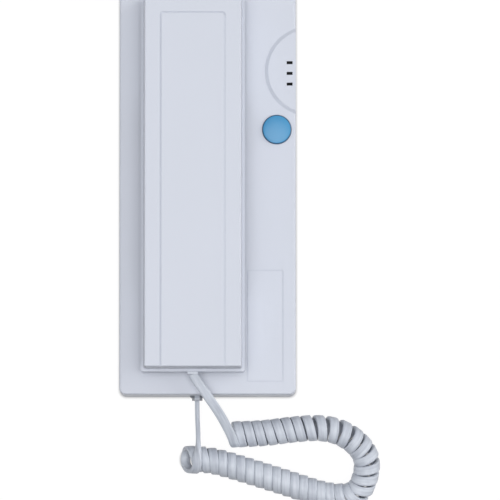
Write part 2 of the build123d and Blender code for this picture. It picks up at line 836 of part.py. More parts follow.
def coil_point(turn):
    """Point on the coiled tube's middle line; a whole turn is on top of the coil."""
    low = 0
    high = axis_steps
    while high - low > 1:
        middle = (low + high) // 2
        if wound_turns[middle] <= turn:
            low = middle
        else:
            high = middle
    share = (turn - wound_turns[low]) / (wound_turns[high] - wound_turns[low])
    position = axis_positions[low] + share * (axis_positions[high] - axis_positions[low])
    x, y, heading = coil_axis(position)
    across = coil_mean_radius * sin(2 * pi * turn)
    height = coil_axis_height + coil_mean_radius * cos(2 * pi * turn)
    return Vector(x + across * sin(heading), y - across * cos(heading), height)


def coil_tangent(turn):
    """Direction of the coiled tube at a turn."""
    step_share = 0.001
    near = coil_point(max(turn - step_share, first_turn_share))
    far = coil_point(min(turn + step_share, coil_turns))
    return (far - near).normalized()


def biarc(start, start_tangent, end, end_tangent):
    """Joint and joint tangent of the two arcs from start to end with equal tangent lengths."""
    chord = end - start
    tangent_sum = start_tangent + end_tangent
    spread = 2 * (1 - start_tangent.dot(end_tangent))
    along = chord.dot(tangent_sum)
    reach = (sqrt(along**2 + spread * chord.dot(chord)) - along) / spread
    first = start + start_tangent * reach
    second = end - end_tangent * reach
    return (first + second) / 2, (second - first).normalized()


quarters = int((coil_turns - first_turn_share) * 4 + 1 / 2)
coil_stops = [
    first_turn_share + (coil_turns - first_turn_share) * number / quarters
    for number in range(quarters + 1)
]
coil_start_tangent = coil_tangent(coil_stops[0])
coil_end_tangent = coil_tangent(coil_stops[-1])
coil_mouth = coil_point(coil_stops[0]) - coil_start_tangent * tube_diameter
coil_tail = coil_point(coil_stops[-1]) + coil_end_tangent * tube_diameter

with BuildPart() as curly_cord:
    with BuildLine() as coil_path:
        Line(coil_mouth, coil_point(coil_stops[0]))
        for near, far in zip(coil_stops, coil_stops[1:]):
            near_point = coil_point(near)
            near_tangent = coil_tangent(near)
            far_point = coil_point(far)
            joint, joint_tangent = biarc(near_point, near_tangent, far_point, coil_tangent(far))
            TangentArc(near_point, joint, tangent=near_tangent)
            TangentArc(joint, far_point, tangent=joint_tangent)
        Line(coil_point(coil_stops[-1]), coil_tail)
    with BuildSketch(Plane(origin=coil_mouth, z_dir=coil_start_tangent)) as coil_section:
        RegularPolygon(tube_diameter / 2, tube_sides)
    sweep(path=coil_path.line, clean=False)

coil_length = sum(edge.length for edge in coil_path.line.edges())
print(f"coil {coil_length:.1f} mm long, volume {curly_cord.part.volume:.1f}")
print(f"section times length {coil_section.sketch.area * coil_length:.1f}")

# Least gap of the coil to itself, on points along it
coil_points = [
    tuple(coil_point(coil_stops[0] + number / samples_per_turn))
    for number in range(int((coil_turns - coil_stops[0]) * samples_per_turn))
]
least_distance = min(
    dist(near, far)
    for number, near in enumerate(coil_points)
    for far in coil_points[number + samples_per_turn // 2:]
)
print(f"least gap of the coil to itself {least_distance - tube_diameter:.2f} mm")


def tail_radii(points):
    """Radius of each corner: 0.45 of its shorter run over the tangent of half its turn."""
    radii = []
    for before, corner, after in zip(points, points[1:], points[2:]):
        arriving = Vector(*corner) - Vector(*before)
        leaving = Vector(*after) - Vector(*corner)
        half_turn = radians(arriving.get_angle(leaving)) / 2
        radii.append(tail_radius_share * min(arriving.length, leaving.length) / tan(half_turn))
    return radii


def cord_tail(points):
    """Tube with the coil's section along straight runs joined by tangent arcs."""
    radii = tail_radii(points)
    with BuildPart() as tail:
        with BuildLine() as tail_path:
            FilletPolyline(*points, radius=radii)
        start_plane = Plane(origin=points[0], z_dir=Vector(*points[1]) - Vector(*points[0]))
        with BuildSketch(start_plane) as tail_section:
            RegularPolygon(tube_diameter / 2, tube_sides)
        sweep(path=tail_path.line)
    tail_length = sum(edge.length for edge in tail_path.line.edges())
    print("tail radii", [round(radius, 1) for radius in radii])
    print(f"tail {tail_length:.1f} mm, volume {tail.part.volume:.1f}")
    print(f"section times length {tail_section.sketch.area * tail_length:.1f}")
    return tail


handset_plug_reach = handset_plug_stand_out + plug_neck_length
handset_tail_start = handset_exit.origin + handset_exit.z_dir * handset_plug_reach
handset_tail_points = [
    tuple(handset_tail_start),
    tuple(handset_tail_start + handset_exit.z_dir * tube_diameter),
    *handset_tail_route,
    tuple(coil_mouth - coil_start_tangent * coil_mouth_run),
    tuple(coil_mouth),
]
base_plug_reach = base_plug_stand_out + plug_neck_length
base_tail_end = base_exit.origin + base_exit.z_dir * base_plug_reach
base_tail_points = [
    tuple(coil_tail),
    tuple(coil_tail + coil_end_tangent * base_end_run),
    *base_tail_route,
    tuple(base_tail_end + base_exit.z_dir * base_end_run),
    tuple(base_tail_end),
]
cord_tail_handset = cord_tail(handset_tail_points)
cord_tail_base = cord_tail(base_tail_points)


pieces = {
    "back_plate": back_plate,
    "front_cover": front_cover,
    "cover_screw": cover_screw,
    "circuit_board": circuit_board,
    "board_screws": board_screws,
    "terminal_block": terminal_block,
    "terminal_screws": terminal_screws,
    "buzzer": buzzer,
    "capacitors": capacitors,
    "button_switch": button_switch,
    "door_button": door_button,
    "hook_switch": hook_switch,
    "hook_plunger": hook_plunger,
    "base_jack": base_jack,
    "base_plug": base_plug,
    "handset_back_shell": handset_back_shell,
    "handset_front_shell": handset_front_shell,
    "earpiece": earpiece,
    "earpiece_gasket": earpiece_gasket,
    "microphone": microphone,
    "microphone_boot": microphone_boot,
    "handset_weight": handset_weight,
    "handset_screws": handset_screws,
    "handset_jack": handset_jack,
    "handset_plug": handset_plug,
    "cord_tail_handset": cord_tail_handset,
    "curly_cord": curly_cord,
    "cord_tail_base": cord_tail_base,
}
os.makedirs("parts", exist_ok=True)
for name, piece in pieces.items():
    piece.part.label = name
    export_step(piece.part, f"parts/{name}.step")
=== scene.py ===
# %% [markdown]
# # Audio intercom with a lift-off handset
#
# The frame holds the moulded shells, the button, the plugs and the plain cord tube of the unit.
# This lesson lights them, gives each part its real plastic, replaces the cord with its flat curled
# cable and remakes the few shapes that need a finer surface than the frame has.
# Everything is in metres: +X is the unit's right, +Y its top, and +Z points out of the wall face.

# %% Load the frame
import math

import bmesh
import bpy
from mathutils import Matrix, Vector


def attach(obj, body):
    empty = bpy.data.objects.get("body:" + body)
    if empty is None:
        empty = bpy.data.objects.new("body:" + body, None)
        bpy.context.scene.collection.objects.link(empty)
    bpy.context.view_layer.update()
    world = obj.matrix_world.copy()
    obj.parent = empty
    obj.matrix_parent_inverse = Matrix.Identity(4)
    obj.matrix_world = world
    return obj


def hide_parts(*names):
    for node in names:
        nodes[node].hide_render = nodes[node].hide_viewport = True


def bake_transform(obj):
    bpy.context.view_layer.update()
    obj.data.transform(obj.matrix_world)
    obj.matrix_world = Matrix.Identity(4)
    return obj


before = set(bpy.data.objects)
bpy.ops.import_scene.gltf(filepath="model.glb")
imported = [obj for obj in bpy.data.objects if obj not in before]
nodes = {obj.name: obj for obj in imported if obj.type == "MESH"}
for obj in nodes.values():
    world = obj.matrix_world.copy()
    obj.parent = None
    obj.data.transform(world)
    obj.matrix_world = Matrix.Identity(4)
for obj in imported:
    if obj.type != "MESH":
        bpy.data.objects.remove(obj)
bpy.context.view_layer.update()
print("frame has", len(nodes), "nodes")

# %% [markdown]
# ## Camera
#
# The picture was taken with a long lens from nearly straight above, so that the unit hardly
# narrows towards its top. The camera stands a little towards the lower end, which is why a sliver
# of the bottom wall shows. The distance and the width of the view give the focal length.

# %% Camera
camera_distance = 4.0
camera_tilt_deg = 4.0
view_width = 0.2607
sensor_width_mm = 36.0
camera_target = Vector((0.0221, -0.0316, 0.025))

tilt = math.radians(camera_tilt_deg)
camera_direction = Vector((0, -math.sin(tilt), math.cos(tilt)))
bpy.ops.object.camera_add(location=camera_target + camera_direction * camera_distance)
camera = bpy.context.object
camera.name = "camera"
camera.rotation_euler = camera_direction.to_track_quat("Z", "Y").to_euler()
camera.data.sensor_width = sensor_width_mm
camera.data.lens = sensor_width_mm * camera_distance / view_width
bpy.context.scene.camera = camera
print("focal length", round(camera.data.lens, 1), "mm")

# %% [markdown]
# ## Route of the cord
#
# The cord is a flat four-core cable. It leaves the handset's lower end flat side up, slants over
# the unit's bottom edge and, without a break, becomes the first strand of the coil. The coil lies
# in an arch to the right and comes back below itself. Its last turn has sprung loose, and from the
# top of that turn the cable runs edge up to the base. Three smooth NURBS lines carry it: the
# handset's tail, the coil's middle line and the base's tail.

# %% Control points of the cord, in metres
coil_height = 0.0070
handset_tail_route = [
    (-0.0076, -0.0968, 0.0350),
    (-0.0071, -0.0980, 0.0350),
    (-0.0010, -0.1068, 0.0336),
    (0.0056, -0.1160, 0.0270),
    (0.0089, -0.1215, 0.0215),
    (0.0123, -0.1277, 0.0160),
    (0.0142, -0.1330, 0.0116),
]
coil_route = [
    (0.0114, -0.1270, coil_height),
    (0.0270, -0.1268, coil_height),
    (0.0440, -0.1244, coil_height),
    (0.0600, -0.1232, coil_height),
    (0.0730, -0.1270, coil_height),
    (0.0832, -0.1370, coil_height),
    (0.0832, -0.1483, coil_height),
    (0.0778, -0.1594, coil_height),
    (0.0630, -0.1596, coil_height),
    (0.0430, -0.1529, coil_height),
    (0.0210, -0.1460, coil_height),
    (0.0040, -0.1409, coil_height),
    (-0.0045, -0.1400, coil_height),
    (-0.0113, -0.1397, coil_height),
]
base_tail_route = [
    (-0.0051, -0.1360, 0.0150),
    (-0.0049, -0.1290, 0.0130),
    (-0.0052, -0.1220, 0.0102),
    (-0.0055, -0.1155, 0.0090),
    (-0.0055, -0.1095, 0.0090),
]

# %% Read the lines from their NURBS splines


def spline_points(name, points, smoothness):
    """Points along the NURBS line that follows the given control points."""
    curve = bpy.data.curves.new(name, "CURVE")
    curve.dimensions = "3D"
    spline = curve.splines.new("NURBS")
    spline.points.add(len(points) - 1)
    for control, point in zip(spline.points, points):
        control.co = (*point, 1)
    spline.order_u = 3
    spline.use_endpoint_u = True
    spline.resolution_u = smoothness
    line = bpy.data.objects.new(name, curve)
    bpy.context.scene.collection.objects.link(line)
    bpy.context.view_layer.update()
    mesh = bpy.data.meshes.new_from_object(line)
    found = [vertex.co.copy() for vertex in mesh.vertices]
    bpy.data.objects.remove(line)
    bpy.data.curves.remove(curve)
    bpy.data.meshes.remove(mesh)
    return found


def lengths_along(points):
    """Distance from the first point to each point, along the line."""
    total = [0.0]
    for near, far in zip(points, points[1:]):
        total.append(total[-1] + (far - near).length)
    return total


def keyed(keys, place):
    """Value at a place between keys, eased from each key to the next."""
    for (low, first), (high, second) in zip(keys, keys[1:]):
        if place <= high:
            share = max(0.0, (place - low) / (high - low))
            share = share * share * (3 - 2 * share)
            return first + (second - first) * share
    return keys[-1][1]


coil_smoothness = 60
tail_smoothness = 16
coil_line = spline_points("coil_line", coil_route, coil_smoothness)
coil_lengths = lengths_along(coil_line)
print("the coil's middle line is", round(coil_lengths[-1] * 1000, 1), "mm long")

# %% [markdown]
# ## Curls
#
# A curly cord is wound on a rod and set with heat, so its turns are a right-handed helix that stays
# tight where nothing pulls it and opens where it is bent. The helix is a formula: the angle grows
# with the length along the middle line, divided by a pitch that follows how the turns open there.
# The turns lean sideways and forwards by small angles that change along the coil, because it was
# pushed about as it was laid down. The last turn steps out to the left below and comes back wider
# on top, where the cable leaves it.

# %% Wind the helix
cord_width = 0.0049
cord_thickness = 0.0024
coil_radius = 0.00565
coil_turns = 36
first_turn_share = 0.25
steps_per_turn = 40
heading_reach = 5
pitch_keys = [
    (0.0, 0.98), (0.18, 0.98), (0.24, 1.17), (0.31, 1.17), (0.37, 1.04), (0.57, 1.04), (0.62, 0.93),
    (1.0, 0.93),
]
sideways_keys_deg = [
    (0.0, 5.0), (0.15, 3.0), (0.27, -2.0), (0.42, 4.0), (0.58, 8.0), (0.68, 11.0), (0.95, 11.0),
    (1.0, 4.0),
]
forward_keys_deg = [
    (0.15, 2.0), (0.24, 8.0), (0.33, 16.0), (0.5, 21.0), (0.58, 17.0), (0.66, 4.0), (1.0, 0.0),
]
loose_shift_keys = [(0.25, 0.0016), (0.9, 0.0), (35.0, 0.0), (35.5, 0.0029), (36.0, -0.0058)]
loose_radius_keys = [(35.6, 0.0), (36.0, 0.0023)]

wound = [0.0]
for near, far in zip(coil_lengths, coil_lengths[1:]):
    wound.append(wound[-1] + (far - near) / keyed(pitch_keys, (near + far) / 2 / coil_lengths[-1]))
wound = [turns * coil_turns / wound[-1] for turns in wound]


def coil_place(turn):
    """Point on the middle line where a turn lies, the line's heading there and its share."""
    index = 0
    while index < len(wound) - 2 and wound[index + 1] < turn:
        index += 1
    share = (turn - wound[index]) / (wound[index + 1] - wound[index])
    place = coil_line[index].lerp(coil_line[index + 1], share)
    ahead = coil_line[min(index + 1 + heading_reach, len(coil_line) - 1)]
    behind = coil_line[max(index - heading_reach, 0)]
    heading = ahead - behind
    return place, heading.normalized(), index / len(wound)


coil_strand = []
turn_count = int((coil_turns - first_turn_share) * steps_per_turn)
for number in range(turn_count + 1):
    turn = first_turn_share + number / steps_per_turn
    place, heading, share = coil_place(turn)
    sideways = math.radians(keyed(sideways_keys_deg, share))
    forward = math.tan(math.radians(keyed(forward_keys_deg, share)))
    across = Matrix.Rotation(sideways, 3, "Z") @ Vector((heading.y, -heading.x, 0))
    angle = 2 * math.pi * turn
    outward = across * math.sin(angle) + Vector((0, 0, 1)) * math.cos(angle)
    radius = coil_radius + keyed(loose_radius_keys, turn)
    shift = keyed(loose_shift_keys, turn) + forward * coil_radius * math.cos(angle)
    coil_strand.append((place + heading * shift + outward * radius, outward))
print("the coil has", len(coil_strand), "points on its strand")

# %% Join the tails to the coil
upward = Vector((0, 0, 1))
handset_twist_keys = [(0.72, 0.0), (1.0, 1.0)]
handset_line = spline_points(
    "handset_tail_line", [*handset_tail_route, tuple(coil_strand[0][0])], tail_smoothness,
)
handset_lengths = lengths_along(handset_line)
tail_strand = []
for point, length in zip(handset_line, handset_lengths):
    share = keyed(handset_twist_keys, length / handset_lengths[-1])
    tail_strand.append((point, upward.lerp(coil_strand[0][1], share).normalized()))

loose_start, loose_outward = coil_strand[-1]
base_line = spline_points("base_tail_line", [tuple(loose_start), *base_tail_route], tail_smoothness)
strand = [*tail_strand[:-1], *coil_strand]
last_of_coil = len(strand) - 1
strand.extend((point, loose_outward) for point in base_line[1:])
strand_lengths = lengths_along([point for point, outward in strand])
straight_angle = 1e-6
bends = []
for index in range(1, len(strand) - 1):
    before, here, after = (strand[place][0] for place in (index - 1, index, index + 1))
    turned = (here - before).angle(after - here, 0)
    bends.append((after - before).length / 2 / max(turned, straight_angle))
print("the tightest bend has a radius of", round(min(bends) * 1000, 2), "mm")

# The base's tail turns edge up on its way from the top of the loose turn
edge_on = Vector((-1, 0, 0))
base_twist_keys = [(-0.006, 0.0), (0.012, 1.0)]
for index in range(last_of_coil - steps_per_turn // 4, len(strand)):
    point, outward = strand[index]
    share = keyed(base_twist_keys, strand_lengths[index] - strand_lengths[last_of_coil])
    strand[index] = (point, outward.lerp(edge_on, share).normalized())

# %% [markdown]
# ## Flat cable
#
# The cable's section is a flat oval. It is swept along the strand as rings of points, with its
# width square to the run and to the direction away from the coil's middle, as a strand lies in a
# real coil. Each ring is joined to the next by faces, and the two ends are closed. A UV map with
# metres along the cable and shares round it lets the material draw streaks along the strand.

# %% Sweep the section along the strand
section_steps = 16
section_power = 0.42


def section_point(angle):
    """Point of the flat oval section, in metres across and out: a power of 1 gives an ellipse."""
    across = math.copysign(abs(math.cos(angle)) ** section_power, math.cos(angle))
    out = math.copysign(abs(math.sin(angle)) ** section_power, math.sin(angle))
    return across * cord_width / 2, out * cord_thickness / 2


section = [section_point(2 * math.pi * step / section_steps) for step in range(section_steps)]
cord_mesh = bmesh.new()
cord_uv = cord_mesh.loops.layers.uv.new("along")
rings = []
for index, (point, outward) in enumerate(strand):
    before = strand[max(index - 1, 0)][0]
    after = strand[min(index + 1, len(strand) - 1)][0]
    run = (after - before).normalized()
    out = (outward - run * outward.dot(run)).normalized()
    across = run.cross(out)
    rings.append([cord_mesh.verts.new(point + across * wide + out * high) for wide, high in section])
for index, (near, far) in enumerate(zip(rings, rings[1:])):
    for side in range(section_steps):
        other = (side + 1) % section_steps
        face = cord_mesh.faces.new((near[side], far[side], far[other], near[other]))
        face.smooth = True
        corners = [(side, index), (side, index + 1), (side + 1, index + 1), (side + 1, index)]
        for loop, (step, ring) in zip(face.loops, corners):
            loop[cord_uv].uv = (step / section_steps, strand_lengths[ring])
cord_mesh.faces.new(rings[0])
cord_mesh.faces.new(list(reversed(rings[-1])))
bmesh.ops.recalc_face_normals(cord_mesh, faces=cord_mesh.faces)
cord_data = bpy.data.meshes.new("flat_curly_cord")
cord_mesh.to_mesh(cord_data)
cord_mesh.free()
cord = bpy.data.objects.new("flat_curly_cord", cord_data)
bpy.context.scene.collection.objects.link(cord)
print("the cord has", len(cord_data.polygons), "faces")

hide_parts("cord_tail_handset", "curly_cord", "cord_tail_base")
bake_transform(cord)

# %% [markdown]
# ## Black felt in the sound slots, standing in for their shade
#
# The three slots of the sounder look deep black from the shade inside them. A strip of black felt
# behind them, with a raised pad in each slot, stands in for that shade as painted shade. The strip
# and the pads are cubes that are brought to size, given rounded edges in edit mode and joined to one
# soft piece.

# %% Helpers for modelling by hand
bevel_segments = 3
block_smooth_deg = 40


def deselect_all():
    """Leaves nothing selected, so that an operator acts only on what is selected next."""
    bpy.ops.object.select_all(action="DESELECT")


def shaped_block(name, low, high, edge_round):
    """Block between two corners in metres, with rounded edges and its place in its mesh."""
    deselect_all()
    bpy.ops.mesh.primitive_cube_add(size=1, location=(Vector(low) + Vector(high)) / 2)
    block = bpy.context.object
    block.name = name
    block.scale = Vector(high) - Vector(low)
    bpy.ops.object.transform_apply(location=True, rotation=False, scale=True)
    bpy.ops.object.mode_set(mode="EDIT")
    bpy.ops.mesh.select_all(action="SELECT")
    bpy.ops.mesh.bevel(offset=edge_round, segments=bevel_segments, affect="EDGES")
    bpy.ops.object.mode_set(mode="OBJECT")
    bpy.ops.object.shade_smooth_by_angle(angle=math.radians(block_smooth_deg))
    return block


def joined(pieces):
    """The pieces as one, under the first one's name."""
    deselect_all()
    for piece in pieces:
        piece.select_set(True)
    bpy.context.view_layer.objects.active = pieces[0]
    bpy.ops.object.join()
    return pieces[0]


# %% Model the felt that stands in for the slots' shade
slot_middles_y = (0.0552, 0.0608, 0.0664)
slot_half_height = 0.00075
slot_shade_round = 0.0002
strip_low = (0.0400, 0.0534, 0.0216)
strip_high = (0.0436, 0.0682, 0.0227)
pad_x = (0.0413, 0.0443)
pad_z = (0.0220, 0.02545)
slot_shade = shaped_block("slot_shade_sheet", strip_low, strip_high, slot_shade_round)
pads = [
    shaped_block(
        "slot_shade_pad",
        (pad_x[0], middle_y - slot_half_height, pad_z[0]),
        (pad_x[1], middle_y + slot_half_height, pad_z[1]),
        slot_shade_round,
    )
    for middle_y in slot_middles_y
]
slot_shade = joined([slot_shade, *pads])
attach(slot_shade, "base")
print("felt has", len(slot_shade.data.polygons), "faces")

# %% [markdown]
# ## Door button
#
# The button is a blue moulded cap with a gently domed face and a small round at its rim, on a
# flange that stops it below the cover and a stem that reaches its switch. It starts as a filled
# circle at the foot of the stem, which is extruded upwards ring by ring and scaled at each ring.
# The frame's button has a plain cone instead of the dome, so this piece stands for it. The flange
# is flat beside the cover's side wall.

# %% Extrude the door button
button_axis = Vector((0.0361, 0.0314, 0))
button_rings = [
    (0.00250, 0.01480), (0.00250, 0.02090), (0.00880, 0.02090), (0.00880, 0.02250), (0.00750, 0.02250),
    (0.00750, 0.02585), (0.00744, 0.02605), (0.00728, 0.02620), (0.00700, 0.02630), (0.00600, 0.02647),
    (0.00450, 0.02666), (0.00300, 0.02679), (0.00150, 0.02687), (0.00050, 0.02690),
]
flange_flat_x = 0.0435
flange_z = (0.0205, 0.0226)
button_corners = 96
button_smooth_deg = 50
deselect_all()
first_radius, first_height = button_rings[0]
bpy.ops.mesh.primitive_circle_add(
    vertices=button_corners, radius=first_radius, fill_type="NGON",
    location=button_axis + Vector((0, 0, first_height)),
)
button = bpy.context.object
button.name = "domed_door_button"
bpy.ops.object.transform_apply(location=True, rotation=False, scale=False)
bpy.ops.object.mode_set(mode="EDIT")
bpy.ops.mesh.select_mode(type="FACE")
bpy.ops.mesh.select_all(action="SELECT")
for (near_radius, near_height), (radius, height) in zip(button_rings, button_rings[1:]):
    bpy.ops.mesh.extrude_region_move(TRANSFORM_OT_translate={"value": (0, 0, height - near_height)})
    bpy.ops.transform.resize(
        value=(radius / near_radius, radius / near_radius, 1),
        center_override=button_axis + Vector((0, 0, height)),
    )
bpy.ops.mesh.select_all(action="SELECT")
bpy.ops.mesh.normals_make_consistent(inside=False)
bpy.ops.object.mode_set(mode="OBJECT")
for vertex in button.data.vertices:
    if flange_z[0] < vertex.co.z < flange_z[1]:
        vertex.co.x = min(vertex.co.x, flange_flat_x)
bpy.ops.object.shade_smooth_by_angle(angle=math.radians(button_smooth_deg))
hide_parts("door_button")
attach(button, "door_button")
print("button has", len(button.data.polygons), "faces")

# %% [markdown]
# ## Plastics
#
# The shells are injection-moulded ABS in a cool white. Its mould is spark-eroded, which leaves a
# fine grain that spreads the highlight, and it has sink and flow marks too faint to see but as a
# slow change of tone. The real grain is a few tenths of a millimetre wide, too fine to show, so it
# is drawn about a millimetre wide. The seams and scribed lines are darkened towards a grey as
# painted shade where little light reaches them, which is why they read as thin grey lines. Each
# colour is an sRGB hex value that one function turns to linear.

# %% Helpers for materials
bump_strength = 0.6


def linear(hex_colour):
    """Linear colour of an sRGB hex value."""
    parts = [int(hex_colour[index:index + 2], 16) / 255 for index in (1, 3, 5)]
    return [part / 12.92 if part <= 0.04045 else ((part + 0.055) / 1.055) ** 2.4 for part in parts] + [1]


def add_node(tree, kind, settings=None, **links):
    """Adds a shader node with its settings and its links from other nodes' outputs."""
    node = tree.nodes.new(kind)
    for key, value in (settings or {}).items():
        if key in node.inputs:
            node.inputs[key].default_value = value
        else:
            setattr(node, key, value)
    for key, output in links.items():
        tree.links.new(output, node.inputs[key.replace("_", " ")])
    return node


def new_material(name, ior=1.5, metallic=0.0):
    """Material with its node tree, its shader and the Object coordinates."""
    material = bpy.data.materials.new(name)
    material.use_nodes = True
    tree = material.node_tree
    shader = tree.nodes["Principled BSDF"]
    shader.inputs["IOR"].default_value = ior
    shader.inputs["Metallic"].default_value = metallic
    return material, tree, shader, add_node(tree, "ShaderNodeTexCoord").outputs["Object"]


def blend_colours(tree, factor, first, second):
    """Mixes two colours, each a hex value or another node's output."""
    mix = add_node(tree, "ShaderNodeMix", {"data_type": "RGBA"}, Factor=factor)
    for key, colour in (("A", first), ("B", second)):
        if isinstance(colour, str):
            mix.inputs[key].default_value = linear(colour)
        else:
            tree.links.new(colour, mix.inputs[key])
    return mix.outputs["Result"]


def surface(tree, shader, colour, height, relief_mm, roughness, spread=0.05):
    """Joins a colour, a relief of a real height and a roughness that follows it to the shader."""
    tree.links.new(colour, shader.inputs["Base Color"])
    bump = add_node(
        tree, "ShaderNodeBump", {"Strength": bump_strength, "Distance": relief_mm / 1000}, Height=height,
    )
    tree.links.new(bump.outputs["Normal"], shader.inputs["Normal"])
    rough = add_node(
        tree, "ShaderNodeMapRange", {"To Min": roughness - spread, "To Max": roughness + spread},
        Value=height,
    )
    tree.links.new(rough.outputs["Result"], shader.inputs["Roughness"])


# %% Plastics
cloud_size_mm = 60.0
seam_shade_reach_mm = 0.6
occlusion_samples = 6


def moulded_plastic(name, base, shade, seam_shade, grain_mm, relief_mm, roughness, ior=1.5):
    """Plastic with a slow change of tone, painted shade in its seams and a moulded grain."""
    material, tree, shader, place = new_material(name, ior)
    cloud = add_node(
        tree, "ShaderNodeTexNoise", {"Scale": 1000 / cloud_size_mm, "Detail": 2.0}, Vector=place,
    )
    tone = blend_colours(tree, cloud.outputs["Fac"], base, shade)
    # Painted shade: seams, creases and places between parts are darkened towards the seam colour by
    # ambient occlusion.
    open_sky = add_node(
        tree, "ShaderNodeAmbientOcclusion",
        {"Distance": seam_shade_reach_mm / 1000, "samples": occlusion_samples},
    )
    unshaded = add_node(
        tree, "ShaderNodeMapRange", {"From Min": 0.2, "From Max": 0.65}, Value=open_sky.outputs["AO"],
    )
    colour = blend_colours(tree, unshaded.outputs["Result"], seam_shade, tone)
    grain = add_node(
        tree, "ShaderNodeTexNoise", {"Scale": 1000 / grain_mm, "Detail": 3.0}, Vector=place,
    )
    surface(tree, shader, colour, grain.outputs["Fac"], relief_mm, roughness)
    return material


housing_abs = moulded_plastic("housing_abs", "#D4D7E1", "#D0D4DD", "#A2A7B6", 1.2, 0.02, 0.42)
button_abs = moulded_plastic("button_abs", "#4496C4", "#3E90C0", "#2C5E84", 0.8, 0.01, 0.3)
plug_plastic = moulded_plastic(
    "plug_polycarbonate", "#DADFE8", "#D3D8E2", "#A4AAB5", 2.0, 0.01, 0.2, 1.58,
)
# Painted shade: the base's plug is given a dark grey for the shade it lies in below the unit's bottom
# wall.
shaded_plug_plastic = moulded_plastic(
    "plug_polycarbonate_painted_shade", "#6F737A", "#666A71", "#45484D", 2.0, 0.01, 0.25, 1.58,
)
black_plastic = moulded_plastic("black_nylon", "#202225", "#1B1D20", "#0E0F10", 0.8, 0.02, 0.5, 1.53)
terminal_plastic = moulded_plastic(
    "terminal_pbt", "#2F7A4A", "#286C41", "#17442A", 0.8, 0.02, 0.45, 1.57,
)

# %% Paint shade on the button's rim
# Painted shade: a thin ring at the button's rim is darker, by its distance from the button's axis.
button_rim_shade_mm = (6.95, 7.25)
button_rim_shade_colour = "#2C668E"
tree = button_abs.node_tree
shader = tree.nodes["Principled BSDF"]
place = add_node(tree, "ShaderNodeTexCoord").outputs["Object"]
flat_place = add_node(tree, "ShaderNodeVectorMath", {"operation": "MULTIPLY"})
tree.links.new(place, flat_place.inputs[0])
flat_place.inputs[1].default_value = (1, 1, 0)
from_axis = add_node(tree, "ShaderNodeVectorMath", {"operation": "DISTANCE"})
tree.links.new(flat_place.outputs["Vector"], from_axis.inputs[0])
from_axis.inputs[1].default_value = button_axis
rim_shade = add_node(
    tree, "ShaderNodeMapRange",
    {"From Min": button_rim_shade_mm[0] / 1000, "From Max": button_rim_shade_mm[1] / 1000},
    Value=from_axis.outputs["Value"],
)
face_colour = shader.inputs["Base Color"].links[0].from_socket
shaded_rim_colour = blend_colours(tree, rim_shade.outputs["Result"], face_colour, button_rim_shade_colour)
tree.links.new(shaded_rim_colour, shader.inputs["Base Color"])

# %% Show the cable through the base's clear plug, whose dark grey is painted shade
plug_middle_x = -0.0055
cable_edge_mm = (1.1, 1.5)
cable_through_plug = "#B4B9C2"
tree = shaded_plug_plastic.node_tree
shader = tree.nodes["Principled BSDF"]
place = add_node(tree, "ShaderNodeTexCoord").outputs["Object"]
across = add_node(tree, "ShaderNodeSeparateXYZ", Vector=place).outputs["X"]
from_middle = add_node(tree, "ShaderNodeMath", {"operation": "SUBTRACT"})
tree.links.new(across, from_middle.inputs[0])
from_middle.inputs[1].default_value = plug_middle_x
aside = add_node(tree, "ShaderNodeMath", {"operation": "ABSOLUTE"})
tree.links.new(from_middle.outputs["Value"], aside.inputs[0])
beside = add_node(
    tree, "ShaderNodeMapRange",
    {"From Min": cable_edge_mm[0] / 1000, "From Max": cable_edge_mm[1] / 1000},
    Value=aside.outputs["Value"],
)
body_colour = shader.inputs["Base Color"].links[0].from_socket
plug_colour = blend_colours(tree, beside.outputs["Result"], cable_through_plug, body_colour)
tree.links.new(plug_colour, shader.inputs["Base Color"])

# %% [markdown]
# ## Cord, felt, rubber and foam
#
# The cord's jacket is soft PVC drawn over four cores, so faint streaks and ribs run along it. They
# are drawn on the cable's UV map: fine across it and long along it. Where the curls lie close
# together the jacket is darkened towards grey as painted shade. Felt is a mat of fibres, foam is a
# sponge of open cells, and the microphone's boot is moulded rubber with a matt bloom. Fibres and
# cells are drawn coarser than they are, so that they show in a close view.

# %% Cord's jacket
streaks_round_cable = 16.0
streaks_per_metre = 55.0
curl_gap_reach_mm = 1.1
cord_pvc, tree, shader, place = new_material("cord_pvc", 1.53)
along = add_node(tree, "ShaderNodeUVMap", {"uv_map": "along"}).outputs["UV"]
stretched = add_node(
    tree, "ShaderNodeMapping", {"Scale": (streaks_round_cable, streaks_per_metre, 1.0)}, Vector=along,
)
streak = add_node(
    tree, "ShaderNodeTexNoise", {"Scale": 1.0, "Detail": 3.0}, Vector=stretched.outputs["Vector"],
)
drawn_marks = add_node(
    tree, "ShaderNodeMapRange", {"From Min": 0.36, "From Max": 0.64}, Value=streak.outputs["Fac"],
)
tone = blend_colours(tree, drawn_marks.outputs["Result"], "#B9BEC8", "#D2D7DF")
# Painted shade: the jacket is darkened towards grey by ambient occlusion where the curls lie close.
gap_light = add_node(
    tree, "ShaderNodeAmbientOcclusion",
    {"Distance": curl_gap_reach_mm / 1000, "samples": occlusion_samples},
)
unshaded = add_node(
    tree, "ShaderNodeMapRange", {"From Min": 0.3, "From Max": 0.8}, Value=gap_light.outputs["AO"],
)
colour = blend_colours(tree, unshaded.outputs["Result"], "#8F959F", tone)
surface(tree, shader, colour, streak.outputs["Fac"], 0.06, 0.42)

# %% Soft black materials


def fibrous(name, base, shade, cell_mm, relief_mm, roughness, ior):
    """Felt, foam or rubber: cells or fibres of a real size, darker in their pits."""
    material, tree, shader, place = new_material(name, ior)
    cells = add_node(tree, "ShaderNodeTexVoronoi", {"Scale": 1000 / cell_mm}, Vector=place)
    colour = blend_colours(tree, cells.outputs["Distance"], shade, base)
    surface(tree, shader, colour, cells.outputs["Distance"], relief_mm, roughness)
    return material


